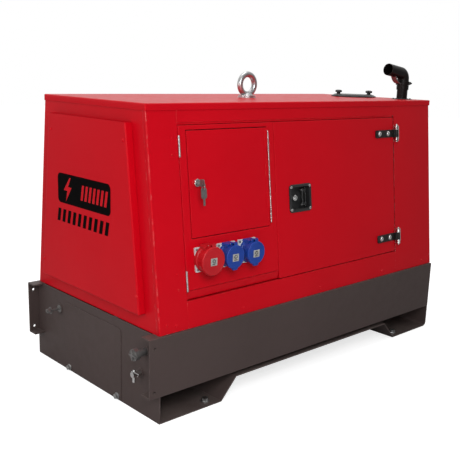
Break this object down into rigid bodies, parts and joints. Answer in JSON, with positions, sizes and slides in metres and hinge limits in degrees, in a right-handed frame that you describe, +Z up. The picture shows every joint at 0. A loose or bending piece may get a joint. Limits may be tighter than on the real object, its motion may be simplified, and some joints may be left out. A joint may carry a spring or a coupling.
{
  "type": "engine driven welder",
  "caption": "Silenced engine driven welder: sheet-steel canopy with service and control doors, covered sockets, lifting eye and exhaust, on a channel-rail skid.",
  "frame": {"origin": "on the floor under the middle of the machine", "axes": "+X along the length away from the control end, -Y towards the control and service side, +Z up"},
  "size_m": [1.4515, 0.736, 1.0621],
  "materials": {
    "canopy_red": "gloss powder coat, slight orange peel",
    "base_brown": "satin dark brown-grey paint",
    "zinc": "zinc plated",
    "bright_steel": "polished",
    "black_paint": "satin black",
    "black_plastic": "fine grain",
    "grey_plastic": "moulded",
    "red_plastic": "moulded",
    "blue_plastic": "moulded",
    "brass": "machined",
    "dark_steel": "heat-resistant black",
    "cast_iron": "painted casting",
    "alu": "plain",
    "panel_grey": "satin grey",
    "tank_plastic": "rotomoulded"
  },
  "bodies": {
    "base": {"base_rail_front": "base_brown", "base_rail_rear": "base_brown", "skid_pan": "base_brown", "base_end_plate": "base_brown", "base_access_cover": "base_brown", "base_bolts": "zinc", "oil_drain_plug": "black_plastic", "earth_terminal": "zinc", "drain_cock_body": "brass", "fuel_tank": "tank_plastic", "engine_beams": "zinc", "corner_panel_left": "canopy_red", "corner_panel_right": "canopy_red", "front_sill": "canopy_red", "front_header": "canopy_red", "rear_panel": "canopy_red", "end_wall_left": "canopy_red", "end_wall_right": "canopy_red", "roof_panel": "canopy_red", "air_cowl": "canopy_red", "panel_screws": "zinc", "lifting_eye": "zinc", "silencer_riser": "dark_steel", "exhaust_elbow": "dark_steel", "exhaust_clamp": "zinc", "door_hinge_brackets": "bright_steel", "control_hinge_fixed": "bright_steel", "engine_block": "cast_iron", "alternator": "cast_iron", "radiator": "alu", "battery": "black_plastic"},
    "service_door": {"service_door": "canopy_red", "door_hinge_straps": "black_paint", "latch_dish": "black_plastic"},
    "latch_handle": {"latch_handle": "black_plastic"},
    "latch_tongue": {"latch_tongue": "zinc"},
    "control_door": {"control_door": "canopy_red", "instrument_panel": "panel_grey", "panel_meters": "black_plastic", "weld_sockets": "brass", "flap_hinge_fixed": "zinc", "socket_flanges": "grey_plastic", "socket_red_body": "red_plastic", "socket_blue_bodies": "blue_plastic"},
    "control_flap": {"control_flap": "canopy_red", "flap_lock": "bright_steel"},
    "door_key": {"door_key": "zinc"},
    "spare_key": {"spare_key": "zinc"},
    "current_knob": {"current_knob": "black_plastic"},
    "start_switch": {"start_switch": "black_plastic"},
    "stop_button": {"stop_button": "red_plastic"},
    "socket_red_lid": {"socket_red_lid": "red_plastic"},
    "socket_blue_lid_left": {"socket_blue_lid_left": "blue_plastic"},
    "socket_blue_lid_right": {"socket_blue_lid_right": "blue_plastic"},
    "drain_cock_lever": {"drain_cock_lever": "brass"},
    "fuel_cap": {"fuel_cap": "black_plastic"},
    "hatch_cover": {"hatch_cover": "black_paint"},
    "hatch_knob_left": {"hatch_knob_left": "black_plastic"},
    "hatch_knob_right": {"hatch_knob_right": "black_plastic"},
    "cooling_fan": {"cooling_fan": "tank_plastic"}
  },
  "joints": [
    {"name": "service_door_hinge", "type": "hinge", "parent": "base", "child": "service_door", "pos_m": [0.49, -0.32322, 0.6089], "axis": [0, 0.1168, 0.9932], "range_deg": [0, 110]},
    {"name": "control_door_hinge", "type": "hinge", "parent": "base", "child": "control_door", "pos_m": [-0.556, -0.31597, 0.60805], "axis": [0, -0.1168, -0.9932], "range_deg": [0, 100]},
    {"name": "control_flap_hinge", "type": "hinge", "parent": "control_door", "child": "control_flap", "pos_m": [-0.1955, -0.30568, 0.6904], "axis": [0, 0.1168, 0.9932], "range_deg": [0, 100]},
    {"name": "door_key_turn", "type": "hinge", "parent": "control_flap", "child": "door_key", "pos_m": [-0.497, -0.3124, 0.6962], "axis": [0, -0.9932, 0.1168], "range_deg": [0, 90]},
    {"name": "spare_key_swing", "type": "hinge", "parent": "door_key", "child": "spare_key", "pos_m": [-0.497, -0.33377, 0.6947], "axis": [1, 0, 0], "range_deg": [-30, 20]},
    {"name": "latch_handle_hinge", "type": "hinge", "parent": "service_door", "child": "latch_handle", "pos_m": [-0.013, -0.30064, 0.60826], "axis": [0, 0.1168, 0.9932], "range_deg": [0, 50]},
    {"name": "latch_tongue_slide", "type": "slide", "parent": "service_door", "child": "latch_tongue", "axis": [1, 0, 0], "range_m": [0, 0.0139]},
    {"name": "socket_red_lid_hinge", "type": "hinge", "parent": "control_door", "child": "socket_red_lid", "pos_m": [-0.484, -0.362, 0.5175], "axis": [-1, 0, 0], "range_deg": [0, 110], "stiffness_Nm_per_rad": 0.03},
    {"name": "socket_blue_lid_left_hinge", "type": "hinge", "parent": "control_door", "child": "socket_blue_lid_left", "pos_m": [-0.3965, -0.362, 0.5105], "axis": [-1, 0, 0], "range_deg": [0, 110], "stiffness_Nm_per_rad": 0.03},
    {"name": "socket_blue_lid_right_hinge", "type": "hinge", "parent": "control_door", "child": "socket_blue_lid_right", "pos_m": [-0.309, -0.362, 0.5105], "axis": [-1, 0, 0], "range_deg": [0, 110], "stiffness_Nm_per_rad": 0.03},
    {"name": "drain_cock_turn", "type": "hinge", "parent": "base", "child": "drain_cock_lever", "pos_m": [-0.695, -0.268, 0.1448], "axis": [0, 0, -1], "range_deg": [0, 90]},
    {"name": "fuel_cap_turn", "type": "hinge", "parent": "base", "child": "fuel_cap", "pos_m": [0.348, -0.262, 0.39], "axis": [0, 0, 1], "range_deg": [0, 90]},
    {"name": "hatch_lift", "type": "slide", "parent": "base", "child": "hatch_cover", "axis": [0, 0, 1], "range_m": [0, 0.08]},
    {"name": "hatch_knob_left_turn", "type": "hinge", "parent": "hatch_cover", "child": "hatch_knob_left", "pos_m": [0.57195, 0.06097, 0.94], "axis": [0, 0, 1], "continuous": true},
    {"name": "hatch_knob_right_turn", "type": "hinge", "parent": "hatch_cover", "child": "hatch_knob_right", "pos_m": [0.66405, -0.02497, 0.94], "axis": [0, 0, 1], "continuous": true},
    {"name": "current_knob_turn", "type": "hinge", "parent": "control_door", "child": "current_knob", "pos_m": [-0.264, -0.2426, 0.7766], "axis": [0, -0.9932, 0.1168], "range_deg": [-135, 135]},
    {"name": "start_switch_turn", "type": "hinge", "parent": "control_door", "child": "start_switch", "pos_m": [-0.474, -0.2585, 0.6839], "axis": [0, 0.9932, -0.1168], "range_deg": [0, 60]},
    {"name": "stop_button_push", "type": "slide", "parent": "control_door", "child": "stop_button", "axis": [0, 0.9932, -0.1168], "range_m": [0, 0.004], "stiffness_N_per_m": 500},
    {"name": "cooling_fan_spin", "type": "hinge", "parent": "base", "child": "cooling_fan", "pos_m": [0.506, 0, 0.54], "axis": [1, 0, 0], "continuous": true}
  ],
  "couplings": [
    {"joint": "latch_handle_hinge", "follows": "latch_tongue_slide", "rad_per_m": 62.34}
  ]
}
